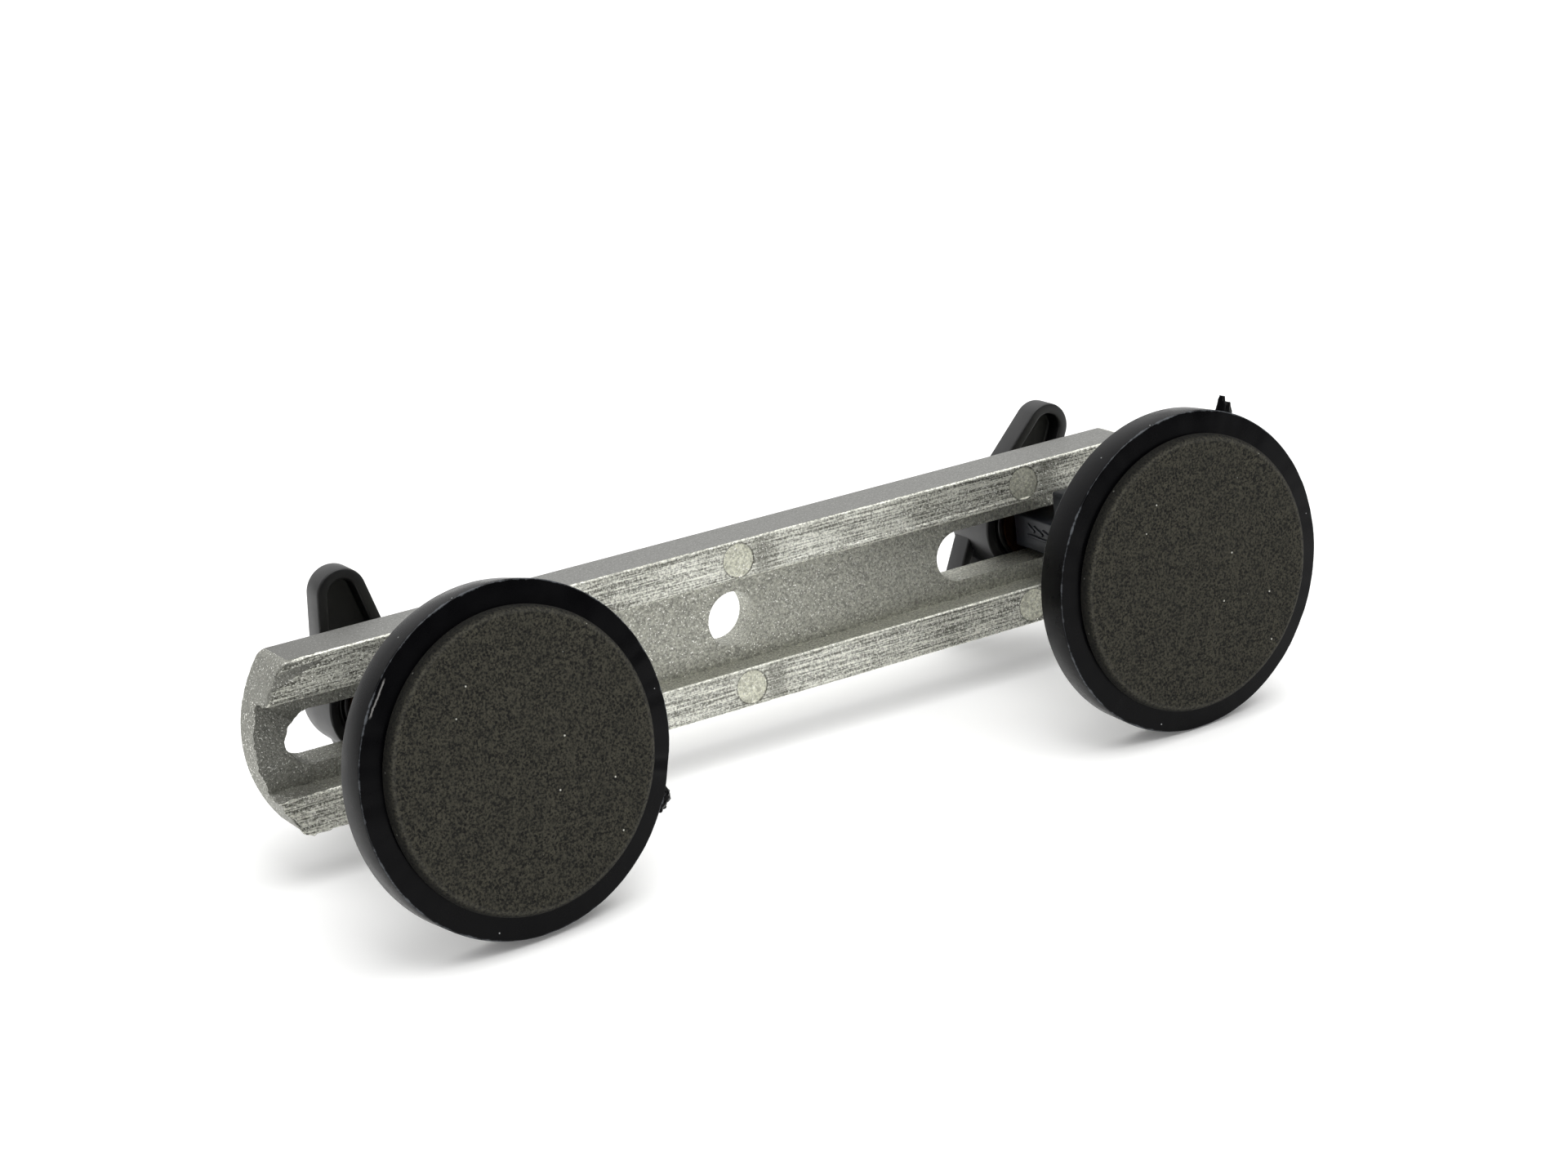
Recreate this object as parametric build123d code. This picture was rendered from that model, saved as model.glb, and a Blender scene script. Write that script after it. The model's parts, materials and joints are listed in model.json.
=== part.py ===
"""Dent puller bridge: a cast aluminium bar with two sliding, swivelling pad feet.

The bar lies along X with its channel facing -Y. Two feet stand out towards -Y, each on a stem
that passes through a slot in the bar and is clamped from behind by a wing nut. The origin is on
the axis of the centre bore, at the back face of the bar. Lengths are in millimetres, +Z is up.
"""
from build123d import *
import math
import os

# --- bar -------------------------------------------------------------------------------------
BAR_HALF_LENGTH = 90.2
BAR_WIDTH = 30.0
BAR_DEPTH = 10.4
END_RADIUS = 23.5            # the rounded ends, seen from the front
CORNER_RADIUS = 2.5          # where an end arc meets a long side
CHANNEL_DEPTH = 4.3
CHANNEL_HALF_MOUTH = 8.15    # half the channel's width at the rails' ground faces
CHANNEL_HALF_FLOOR = 7.85
BORE_RADIUS = 4.9
SLOT_INNER = 47.5            # centres of a slot's two end arcs
SLOT_OUTER = 80.0
SLOT_HALF_WIDTH = 4.68
SLOT_DRAFT = 3.0             # degrees, narrower towards the back
PIN_MARK_RADIUS = 3.05
PIN_MARK_DEPTH = 0.12
PIN_MARK_X = 60.0
PIN_MARK_Z = 11.55
RAIL_EDGE = 0.25             # edge break along the rails
BACK_EDGE = 0.9              # edge rounding round the back face

# --- feet ------------------------------------------------------------------------------------
LEFT_FOOT_X = -64.0
RIGHT_FOOT_X = 68.3
SHANK_WIDTH = 8.4            # along X, inside the slot
SHANK_HEIGHT = 6.2           # along Z
SHANK_END = -0.2             # the shank stops just short of the bar's back face
SHOULDER_WIDTH = 5.0
SHOULDER_HEIGHT = 17.4       # spans the channel and rests on both rails
SHOULDER_DEPTH = 4.5
SEAT_GAP = 0.1               # between the shoulder and the rails, and the nut and the bar
POST_RADIUS = 4.6
POST_STRAIGHT = 3.0          # from the shoulder to the start of the taper
NECK_RADIUS = 3.1
NECK_LENGTH = 5.35           # straight neck, measured from the ball's centre
BALL_RADIUS = 5.5
BALL_Y = -33.0               # ball centre, measured from the bar's back face
BALL_CLEARANCE = 0.07

# --- pad discs, drawn with the ball centre as their own origin ---------------------------------
PAD_LEVER = 14.0             # ball centre to the disc's front face
DISC_FRONT_RADIUS = 28.5
DISC_BACK_RADIUS = 28.1
DISC_DEPTH = 6.4
DISC_PLATE = 2.8             # thickness of the plate behind the foam
RIM_WALL = 2.3
SOCKET_RADIUS = 8.4
SOCKET_LIP = 2.1             # how far the socket wraps past the ball's middle
SOCKET_SLIT = 1.0
SOCKET_SLIT_DEPTH = 5.5
SOCKET_SLIT_TURNS = (30, 120)
RIB_COUNT = 6
RIB_WIDTH = 1.6
RIB_SETBACK = 1.0            # the ribs stop short of the rim's back edge
DISC_EDGE = 0.5
FOAM_RADIUS = 24.5
FOAM_DEPTH = 2.0
FOAM_EDGE = 0.5
GLUE_RADIUS = 24.2
GLUE_DEPTH = 0.2
LEFT_TILT = (-6.5, 6.4)      # how each disc sits on its ball: degrees about X, then about Z
RIGHT_TILT = (-0.7, 2.3)

# --- stud, insert and wing nut -----------------------------------------------------------------
STUD_RADIUS = 2.45           # M5
STUD_EMBED = -18.0           # its buried end, inside the post
STUD_END = 11.4
STUD_POINT = 0.5             # chamfer at the free end
INSERT_BORE = 2.5
INSERT_RADIUS = 3.7
FLANGE_RADIUS = 6.3
FLANGE_DEPTH = 1.2
INSERT_END = 10.0
HUB_RADIUS = 9.75
HUB_FRONT = 0.8
HUB_BACK = 12.6
HUB_CUP_RADIUS = 7.9         # the dished front of the hub, round the brass flange
HUB_CUP_DEPTH = 1.6
HUB_SEAT_RADIUS = 6.9        # the raised seat behind the brass flange
STUD_HOLE_RADIUS = 3.05      # the hole in the hub where the stud's end shows
WING_FRONT = 7.4
WING_BACK = 12.2
WING_TIP = 22.5              # from the nut's axis to the end of a wing
WING_TIP_RADIUS = 4.55
WING_ROOT_HALF = 7.9         # half the width of a wing at the nut's axis, if it ran that far
WING_BORDER = 1.9
POCKET_DEPTH = 3.4
NUT_EDGE = 0.5
LEFT_NUT_TURN = -6.0         # degrees clockwise seen from the pads, 0 has the wings upright
RIGHT_NUT_TURN = 34.0

JOIN = 0.5                   # how far two shapes of one moulding run into each other
PAST = 1.0                   # how far a cut runs past the face it leaves


def facing_pads(y):
    """A sketch plane across Y at the given depth, X to the right and Z up, extruding to -Y."""
    return Plane(origin=(0, y, 0), x_dir=(1, 0, 0), z_dir=(0, -1, 0))


def rod(radius, y_from, y_to):
    """A round bar on the Y axis between two depths."""
    front = max(y_from, y_to)
    return extrude(facing_pads(front) * Circle(radius), abs(y_to - y_from))


def block(width, height, y_from, y_to):
    """A rectangular block centred on the Y axis between two depths."""
    front = max(y_from, y_to)
    return extrude(facing_pads(front) * Rectangle(width, height), abs(y_to - y_from))


def edges_at_depth(solid, y):
    """The edges that lie in the plane across Y at the given depth."""
    return [e for e in solid.edges() if abs(e.center().Y - y) < 0.01 and e.bounding_box().size.Y < 0.01]


def bar_outline():
    """The bar seen from the front: straight sides, one large arc at each end."""
    arc_centre = BAR_HALF_LENGTH - END_RADIUS
    sides = Rectangle(2 * BAR_HALF_LENGTH, BAR_WIDTH)
    ends = Rectangle(2 * arc_centre, 2 * END_RADIUS)
    for side in (-1, 1):
        ends += Pos(side * arc_centre, 0) * Circle(END_RADIUS)
    outline = sides & ends
    corners = [v for v in outline.vertices() if abs(abs(v.Y) - BAR_WIDTH / 2) < 0.01]
    return fillet(corners, CORNER_RADIUS)


def bridge_bar():
    """The cast bar: channel, two drafted slots, centre bore and ejector marks on the rails."""
    bar = extrude(facing_pads(0) * bar_outline(), BAR_DEPTH)
    bar = fillet(edges_at_depth(bar, 0), BACK_EDGE)
    rail_face = -BAR_DEPTH
    channel_floor = rail_face + CHANNEL_DEPTH
    channel = Polygon(
        (rail_face, -CHANNEL_HALF_MOUTH), (channel_floor, -CHANNEL_HALF_FLOOR),
        (channel_floor, CHANNEL_HALF_FLOOR), (rail_face, CHANNEL_HALF_MOUTH), align=None)
    across = Plane(origin=(-BAR_HALF_LENGTH, 0, 0), x_dir=(0, 1, 0), z_dir=(1, 0, 0))
    bar -= extrude(across * channel, 2 * BAR_HALF_LENGTH)
    bar = chamfer(edges_at_depth(bar, rail_face), RAIL_EDGE)
    middle = (SLOT_INNER + SLOT_OUTER) / 2
    slot = SlotCenterToCenter(SLOT_OUTER - SLOT_INNER, 2 * SLOT_HALF_WIDTH)
    floor_plane = Plane(origin=(0, channel_floor, 0), x_dir=(1, 0, 0), z_dir=(0, 1, 0))
    for side in (-1, 1):
        bar -= extrude(floor_plane * Pos(side * middle, 0) * slot, BAR_DEPTH, taper=SLOT_DRAFT)
    bar -= rod(BORE_RADIUS, 0, -BAR_DEPTH)
    mark = rod(PIN_MARK_RADIUS, rail_face, rail_face + PIN_MARK_DEPTH)
    for x in (-PIN_MARK_X, 0, PIN_MARK_X):
        for z in (-PIN_MARK_Z, PIN_MARK_Z):
            bar -= Pos(x, 0, z) * mark
    return bar


def stud():
    """The M5 stud moulded into the stem, drawn plain at its thread's outer size."""
    shaft = rod(STUD_RADIUS, STUD_EMBED, STUD_END)
    return chamfer(edges_at_depth(shaft, STUD_END), STUD_POINT)


def foot_stem():
    """One moulding: shank through the slot, shoulder across the rails, tapered post and ball."""
    rail_face = -BAR_DEPTH - SEAT_GAP
    shoulder_front = rail_face - SHOULDER_DEPTH
    stem = block(SHANK_WIDTH, SHANK_HEIGHT, SHANK_END, shoulder_front)
    stem += block(SHOULDER_WIDTH, SHOULDER_HEIGHT, rail_face, shoulder_front)
    root = shoulder_front + JOIN
    profile = Polyline((0, root), (POST_RADIUS, root), (POST_RADIUS, shoulder_front - POST_STRAIGHT),
                       (NECK_RADIUS, BALL_Y + NECK_LENGTH), (NECK_RADIUS, BALL_Y), (0, BALL_Y),
                       close=True)
    stem += revolve(Plane.XY * make_face(profile), Axis.Y)
    stem += Pos(0, BALL_Y, 0) * Sphere(BALL_RADIUS)
    return stem - rod(STUD_RADIUS, STUD_EMBED, SHANK_END + PAST)


def pad_disc():
    """The pad's moulded disc: rimmed plate, ribs and the split socket that holds the ball."""
    front = -PAD_LEVER
    back = front + DISC_DEPTH
    inner = DISC_BACK_RADIUS - RIM_WALL
    profile = Polyline((0, front), (DISC_FRONT_RADIUS, front), (DISC_BACK_RADIUS, back), (inner, back),
                       (inner, front + DISC_PLATE), (SOCKET_RADIUS, front + DISC_PLATE),
                       (SOCKET_RADIUS, SOCKET_LIP), (0, SOCKET_LIP), close=True)
    disc = revolve(Plane.XY * make_face(profile), Axis.Y)
    rib_back = back - RIB_SETBACK
    rib_shape = Pos((SOCKET_RADIUS + inner) / 2, 0) * Rectangle(inner - SOCKET_RADIUS + 2 * JOIN, RIB_WIDTH)
    rib = extrude(facing_pads(rib_back) * rib_shape, rib_back - front - DISC_PLATE + JOIN)
    for turn in range(RIB_COUNT):
        disc += Rot(0, turn * 360 / RIB_COUNT, 0) * rib
    disc = fillet([e for e in edges_at_depth(disc, front) if e.radius > FOAM_RADIUS], DISC_EDGE)
    disc -= Sphere(BALL_RADIUS + BALL_CLEARANCE)
    slit = block(3 * SOCKET_RADIUS, SOCKET_SLIT, SOCKET_LIP + PAST, SOCKET_LIP - SOCKET_SLIT_DEPTH)
    for turn in SOCKET_SLIT_TURNS:
        disc -= Rot(0, turn, 0) * slit
    return disc


def pad_glue():
    """The thin adhesive film between disc and foam."""
    return rod(GLUE_RADIUS, -PAD_LEVER, -PAD_LEVER - GLUE_DEPTH)


def foam_pad():
    """The foam disc that rests on the panel."""
    back = -PAD_LEVER - GLUE_DEPTH
    foam = rod(FOAM_RADIUS, back, back - FOAM_DEPTH)
    return fillet(edges_at_depth(foam, back - FOAM_DEPTH), FOAM_EDGE)


def thread_insert():
    """The flanged brass insert whose flange bears on the bar."""
    insert = rod(FLANGE_RADIUS, SEAT_GAP, SEAT_GAP + FLANGE_DEPTH)
    insert += rod(INSERT_RADIUS, SEAT_GAP, INSERT_END)
    return insert - rod(INSERT_BORE, 0, INSERT_END)


def wing_outline(inset):
    """One wing seen from the front, pointing up, shrunk all round by the inset."""
    tip_radius = WING_TIP_RADIUS - inset
    tip_centre = WING_TIP - WING_TIP_RADIUS
    lean = math.asin((WING_ROOT_HALF - WING_TIP_RADIUS) / tip_centre)
    side = (tip_radius * math.cos(lean), tip_centre + tip_radius * math.sin(lean))
    root_half = side[0] + side[1] * math.tan(lean)
    other_side = (-side[0], side[1])
    tip = ThreePointArc(side, (0, tip_centre + tip_radius), other_side)
    edges = [Line((root_half, 0), side), tip, Line(other_side, (-root_half, 0)),
             Line((-root_half, 0), (root_half, 0))]
    return make_face(edges)


def wing_nut():
    """The moulded nut: round hub with a dished front, two wings with pocketed front faces."""
    nut = rod(HUB_RADIUS, HUB_FRONT, HUB_BACK)
    nut = fillet(nut.edges().filter_by(GeomType.CIRCLE), NUT_EDGE)
    wing = extrude(facing_pads(WING_BACK) * wing_outline(0), WING_BACK - WING_FRONT)
    tip_edges = [e for y in (WING_BACK, WING_FRONT) for e in edges_at_depth(wing, y) if e.center().Z > PAST]
    wing = fillet(tip_edges, NUT_EDGE)
    pocket = extrude(facing_pads(WING_FRONT + POCKET_DEPTH) * wing_outline(WING_BORDER), POCKET_DEPTH)
    pocket -= rod(HUB_RADIUS, HUB_FRONT, HUB_BACK)
    for turn in (0, 180):
        nut += Rot(0, turn, 0) * wing
    for turn in (0, 180):
        nut -= Rot(0, turn, 0) * pocket
    nut -= rod(HUB_CUP_RADIUS, 0, HUB_FRONT + HUB_CUP_DEPTH)
    nut += rod(HUB_SEAT_RADIUS, SEAT_GAP + FLANGE_DEPTH, HUB_FRONT + HUB_CUP_DEPTH + JOIN)
    nut -= rod(INSERT_RADIUS, 0, INSERT_END)
    return nut - rod(STUD_HOLE_RADIUS, INSERT_END - JOIN, HUB_BACK + PAST)


def write(name, solid):
    """Write one sub-part to its own file."""
    export_step(solid, f"parts/{name}.step")


def write_foot(side, foot_x, tilt, nut_turn):
    """Place and write the seven sub-parts of one foot."""
    at_slot = Pos(foot_x, 0, 0)
    on_ball = Pos(foot_x, BALL_Y, 0) * Rot(tilt[0], 0, 0) * Rot(0, 0, tilt[1])
    turned = at_slot * Rot(0, nut_turn, 0)
    write(f"{side}_foot_stem", at_slot * foot_stem())
    write(f"{side}_threaded_stud", at_slot * stud())
    write(f"{side}_pad_disc", on_ball * pad_disc())
    write(f"{side}_pad_adhesive", on_ball * pad_glue())
    write(f"{side}_foam_pad", on_ball * foam_pad())
    write(f"{side}_thread_insert", turned * thread_insert())
    write(f"{side}_wing_nut", turned * wing_nut())


os.makedirs("parts", exist_ok=True)
write("bridge_bar", bridge_bar())
write_foot("left", LEFT_FOOT_X, LEFT_TILT, LEFT_NUT_TURN)
write_foot("right", RIGHT_FOOT_X, RIGHT_TILT, RIGHT_NUT_TURN)
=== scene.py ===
"""The looks of a dent puller bridge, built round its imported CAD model.

A cast bar with a channel carries two black feet. Each foot's ball holds a foam-faced disc, and a
wing nut behind the bar clamps the foot in its slot. All lengths are in metres in the CAD frame:
X runs along the bar, the discs stand towards -Y, and the tool lies on the edges of its discs.
"""
import json
import math

import bmesh
import bpy
from mathutils import Matrix, Vector, noise


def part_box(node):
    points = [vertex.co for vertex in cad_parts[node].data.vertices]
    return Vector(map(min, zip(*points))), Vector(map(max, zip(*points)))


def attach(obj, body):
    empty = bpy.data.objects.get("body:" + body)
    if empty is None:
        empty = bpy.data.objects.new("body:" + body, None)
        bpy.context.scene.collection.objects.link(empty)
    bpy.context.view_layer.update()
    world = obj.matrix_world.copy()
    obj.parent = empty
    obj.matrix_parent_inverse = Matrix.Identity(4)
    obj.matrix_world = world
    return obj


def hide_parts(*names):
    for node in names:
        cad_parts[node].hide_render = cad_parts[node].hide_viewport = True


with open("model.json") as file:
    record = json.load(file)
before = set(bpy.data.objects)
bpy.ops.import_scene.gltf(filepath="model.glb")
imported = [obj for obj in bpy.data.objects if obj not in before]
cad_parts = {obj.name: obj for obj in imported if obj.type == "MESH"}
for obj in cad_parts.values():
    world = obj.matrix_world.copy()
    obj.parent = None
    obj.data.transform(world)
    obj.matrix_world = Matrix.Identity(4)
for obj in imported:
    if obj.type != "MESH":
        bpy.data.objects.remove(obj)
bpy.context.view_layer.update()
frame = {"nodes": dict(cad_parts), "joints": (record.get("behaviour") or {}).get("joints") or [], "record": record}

MM = 0.001
SIDES = ("left", "right")
JOINTS = {joint["name"]: joint for joint in frame["joints"]}
MOUNTS = {mount["name"]: mount for mount in frame["record"]["mounts"]}

# --- places that the CAD model gives -----------------------------------------------------------
BAR_LOW, BAR_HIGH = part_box("bridge_bar")
RAIL_FACE = BAR_LOW.y                    # the linished faces towards the discs
BALL = {side: Vector(JOINTS[f"{side}_pad_swivel"]["pos_m"]) for side in SIDES}
PAD_AXIS = {side: Vector(MOUNTS[f"{side}_pad_face"]["axis"]) for side in SIDES}
NUT_AXIS_X = {side: BALL[side].x for side in SIDES}
NUT_TURN = {"left": math.radians(-6), "right": math.radians(34)}

# --- sizes of the pieces, as on the CAD model ----------------------------------------------------
SCRAPE_ANGLE = 144.0                     # degrees round the left disc from its +X side
EJECTOR_SPACING = 60.0                   # mm between the round marks along a rail
EJECTOR_OFFSET = 11.55                   # mm from the bar's middle line
EJECTOR_RADIUS = 3.05                    # mm
CHANNEL_HALF_MOUTH = 8.15                # mm
DISC_FRONT = -14.0 * MM                  # from the ball's centre
DISC_BACK = -7.6 * MM
DISC_FLOOR = -11.2 * MM                  # the back of the plate inside the rim
DISC_FRONT_RADIUS = 28.5 * MM
DISC_BACK_RADIUS = 28.1 * MM
RIM_INNER = 25.8 * MM
SOCKET_RADIUS = 8.4 * MM
SOCKET_LIP = 2.1 * MM
SOCKET_SPLIT = -3.4 * MM                 # the slits between the socket's fingers start here
SOCKET_BORE = 5.57 * MM
FINGER_SWEEP = math.radians(81)
RIB_COUNT = 6
RIB_WIDTH = 1.6 * MM
RIB_BACK = -8.6 * MM
FOAM_RADIUS = 24.5 * MM
FOAM_BACK = -14.2 * MM
FOAM_FRONT = -16.2 * MM
FOAM_EDGE = 1.2 * MM
BALL_RADIUS = 5.5 * MM
SHANK = (8.4 * MM, 14.8 * MM, 6.2 * MM)
SHANK_MIDDLE = -7.6 * MM
SHOULDER = (5.0 * MM, 4.5 * MM, 17.4 * MM)
SHOULDER_MIDDLE = -12.75 * MM
POST_RADIUS = 4.6 * MM
POST_ROOT = -14.5 * MM
POST_TAPER = -18.0 * MM                  # where the post starts to narrow
NECK_RADIUS = 3.1 * MM
NECK_START = -27.65 * MM
HUB_RADIUS = 9.75 * MM
HUB_FRONT = 0.8 * MM
HUB_BACK = 12.6 * MM
CUP_RADIUS = 7.9 * MM
CUP_FLOOR = 2.4 * MM
SEAT_RADIUS = 6.9 * MM
INSERT_FRONT = 0.1 * MM
FLANGE_BACK = 1.3 * MM
FLANGE_RADIUS = 6.3 * MM
BARREL_RADIUS = 3.7 * MM
INSERT_BORE = 2.5 * MM
INSERT_BACK = 10.0 * MM
STUD_HOLE_RADIUS = 3.05 * MM
WING_FRONT = 7.4 * MM
WING_BACK = 12.2 * MM
WING_ROOT_RADIUS = 7.9 * MM
WING_TIP_RADIUS = 4.55 * MM
WING_TIP_CENTRE = 17.95 * MM
WING_CUT = 5.0 * MM                      # inside the hub, clear of the insert
WING_BORDER = 1.9 * MM
POCKET_DEPTH = 3.4 * MM
THREAD_RADIUS = 2.45 * MM
THREAD_ROOT = 1.96 * MM
THREAD_PITCH = 0.8 * MM
THREAD_START = -1.0 * MM
THREAD_END = 10.9 * MM
STUD_END = 11.4 * MM

FINE = 192                               # segments round a disc
MEDIUM = 96
ALONG_Y = Matrix.Rotation(math.radians(-90), 4, "X")     # turns +Z to +Y


# --- shaping -----------------------------------------------------------------------------------
def turned(profile, segments, closed=False, sweep=2 * math.pi):
    """A shape turned on the Y axis from (radius, depth) points. A closed profile makes a ring."""
    bm = bmesh.new()
    verts = [bm.verts.new((radius, depth, 0)) for radius, depth in profile]
    full = sweep > math.radians(359)
    if full:
        pairs = list(zip(verts, verts[1:])) + ([(verts[-1], verts[0])] if closed else [])
        geometry = verts + [bm.edges.new(pair) for pair in pairs]
    else:
        geometry = [bm.faces.new(verts)]
        geometry += list(geometry[0].edges) + verts
    bmesh.ops.spin(bm, geom=geometry, cent=(0, 0, 0), axis=(0, 1, 0), dvec=(0, 0, 0), angle=sweep,
                   steps=segments, use_merge=full, use_duplicate=False)
    bmesh.ops.remove_doubles(bm, verts=bm.verts, dist=0.0005 * MM)
    bmesh.ops.recalc_face_normals(bm, faces=bm.faces)
    return bm


def arc(centre, radius, start, end, count):
    """Points of an arc in the profile plane, angles in degrees from the radius direction."""
    points = []
    for i in range(count + 1):
        angle = math.radians(start + (end - start) * i / count)
        points.append((centre[0] + radius * math.cos(angle), centre[1] + radius * math.sin(angle)))
    return points


def block(size, middle):
    """A rectangular block."""
    bm = bmesh.new()
    bmesh.ops.create_cube(bm, size=1.0, matrix=Matrix.Translation(middle) @ Matrix.Diagonal((*size, 1)))
    return bm


def soften(bm, width, sharper_than=30, segments=3):
    """Rounds every edge that turns by more than the angle in degrees."""
    limit = math.radians(sharper_than)
    edges = [e for e in bm.edges if e.is_manifold and e.calc_face_angle() > limit]
    bmesh.ops.bevel(bm, geom=edges, offset=width, offset_type="OFFSET", affect="EDGES", segments=segments,
                    profile=0.5, clamp_overlap=True, material=-1)
    return bm


def join(*parts):
    """Puts the closed shells of one moulding into one mesh."""
    whole = bmesh.new()
    for part in parts:
        shell = bpy.data.meshes.new("shell")
        part.to_mesh(shell)
        part.free()
        whole.from_mesh(shell)
        bpy.data.meshes.remove(shell)
    return whole


def moved(bm, matrix):
    """The same shape, placed."""
    bmesh.ops.transform(bm, matrix=matrix, verts=bm.verts)
    return bm


def uneven(bm, amount, size, verts=None):
    """Pushes vertices about by smooth noise: amount is the most, size is the width of a bump."""
    for vert in verts or bm.verts:
        vert.co += noise.noise_vector(vert.co / size) * amount
    return bm


def piece(bm, name, body, slot, material, *nodes, smooth=30):
    """A finished piece that rides on a body and stands for CAD nodes."""
    mesh = bpy.data.meshes.new(name)
    bm.to_mesh(mesh)
    bm.free()
    mesh.shade_smooth()
    mesh.set_sharp_from_angle(angle=math.radians(smooth))
    mesh.materials.append(material)
    obj = bpy.data.objects.new(name, mesh)
    bpy.context.scene.collection.objects.link(obj)
    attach(obj, body)
    if nodes:
        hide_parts(*nodes)
    return obj


# --- pieces ------------------------------------------------------------------------------------
def cast_bar():
    """The bar has the CAD node's shape, and the front edges of its rails are uneven."""
    bm = bmesh.new()
    bm.from_mesh(frame["nodes"]["bridge_bar"].data)
    bmesh.ops.remove_doubles(bm, verts=bm.verts, dist=0.001 * MM)
    bmesh.ops.dissolve_limit(bm, angle_limit=math.radians(0.5), verts=bm.verts, edges=bm.edges)
    front = RAIL_FACE + 0.3 * MM
    ragged_x = BAR_LOW.x + 14 * MM
    margin = 0.7 * MM                    # the faces stay flat past this distance from a rough edge
    cuts = [((0, RAIL_FACE + margin, 0), (0, 1, 0)), ((ragged_x + margin, 0, 0), (1, 0, 0))]
    for side in (-1, 1):
        for height in (BAR_HIGH.z - margin, CHANNEL_HALF_MOUTH * MM + margin):
            cuts.append(((0, 0, side * height), (0, 0, 1)))
    for spot, across in cuts:
        bmesh.ops.bisect_plane(bm, geom=bm.verts[:] + bm.edges[:] + bm.faces[:], dist=0.001 * MM,
                               plane_co=spot, plane_no=across)
    sharp = math.radians(20)

    def rough_edge(edge):
        """The rails' front edges, and every front-facing edge at the left end."""
        if not edge.is_manifold or edge.calc_face_angle() < sharp:
            return False
        depth = max(v.co.y for v in edge.verts)
        return depth < front or (depth < RAIL_FACE / 2 and max(v.co.x for v in edge.verts) < ragged_x)

    edges = [e for e in bm.edges if rough_edge(e)]
    step = 0.5 * MM
    for edge in edges:
        cuts = int(edge.calc_length() / step)
        if cuts:
            bmesh.ops.subdivide_edges(bm, edges=[edge], cuts=cuts)
    chosen = {v for e in bm.edges if rough_edge(e) for v in e.verts}
    for vert in chosen:
        height = abs(vert.co.z)
        if CHANNEL_HALF_MOUTH * MM + 0.3 * MM < height < BAR_HIGH.z - 0.3 * MM and vert.co.x > ragged_x:
            continue
        worst = max(0, min(1, (ragged_x - vert.co.x) / (6 * MM)))
        push = noise.noise_vector(vert.co / (0.9 * MM)) + noise.noise_vector(vert.co / (3.1 * MM))
        vert.co += push * (0.05 + 0.33 * worst) * MM
    return bm


def disc_body(side):
    """One moulding: rimmed plate, ribs, socket with four fingers, and the gate left from moulding."""
    socket_floor = arc((0, 0), SOCKET_BORE, -37.6, -90, 10)
    plate = turned([(0, DISC_FRONT), (DISC_FRONT_RADIUS, DISC_FRONT), (DISC_BACK_RADIUS, DISC_BACK),
                    (RIM_INNER, DISC_BACK), (RIM_INNER, DISC_FLOOR), (SOCKET_RADIUS, DISC_FLOOR),
                    (SOCKET_RADIUS, SOCKET_SPLIT)] + socket_floor, FINE)
    soften(plate, 0.4 * MM, sharper_than=50)
    trim = math.radians(-18 if side == "left" else 67)
    outward = Vector((math.cos(trim), 0, math.sin(trim)))
    flat = DISC_FRONT_RADIUS * math.cos(math.radians(9 if side == "left" else 3.5))
    for vert in plate.verts:
        beyond = vert.co.dot(outward) - flat
        if beyond > 0:
            vert.co -= outward * beyond
        if vert.co.y < DISC_FRONT + 1 * MM and vert.co.xz.length > RIM_INNER:
            ripple = noise.noise(vert.co / (4 * MM)) + 0.6 * noise.noise(vert.co / (1.3 * MM))
            vert.co.y += ripple * 0.09 * MM
    parts = [plate]
    mouth = math.degrees(math.asin(SOCKET_LIP / SOCKET_BORE))
    for quarter in range(4):
        finger = turned(arc((0, 0), SOCKET_BORE, -37.6, mouth, 12)
                        + [(SOCKET_RADIUS, SOCKET_LIP), (SOCKET_RADIUS, SOCKET_SPLIT)], 20, sweep=FINGER_SWEEP)
        parts.append(moved(finger, Matrix.Rotation(math.radians(34.5 + 90 * quarter), 4, "Y")))
    length = RIM_INNER - SOCKET_RADIUS + 1 * MM
    height = RIB_BACK - DISC_FLOOR + 0.5 * MM
    for turn in range(RIB_COUNT):
        rib = block((length, height, RIB_WIDTH),
                    ((SOCKET_RADIUS + RIM_INNER) / 2, RIB_BACK - height / 2, 0))
        soften(rib, 0.25 * MM)
        parts.append(moved(rib, Matrix.Rotation(2 * math.pi * turn / RIB_COUNT, 4, "Y")))
    parts.append(gate_stub() if side == "left" else gate_spike())
    return join(*parts)


def gate_stub():
    """The broken stub of the moulding gate at the rim."""
    bm = bmesh.new()
    bmesh.ops.create_icosphere(bm, subdivisions=4, radius=1.0)
    moved(bm, Matrix.Diagonal((1.5 * MM, 1.7 * MM, 2.4 * MM, 1)))
    uneven(bm, 0.35 * MM, 0.8 * MM)
    uneven(bm, 0.15 * MM, 0.3 * MM)
    turn = Matrix.Rotation(math.radians(29), 4, "Y")
    return moved(bm, turn @ Matrix.Translation((DISC_FRONT_RADIUS + 0.3 * MM, DISC_FRONT + 1.8 * MM, 0)))


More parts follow.
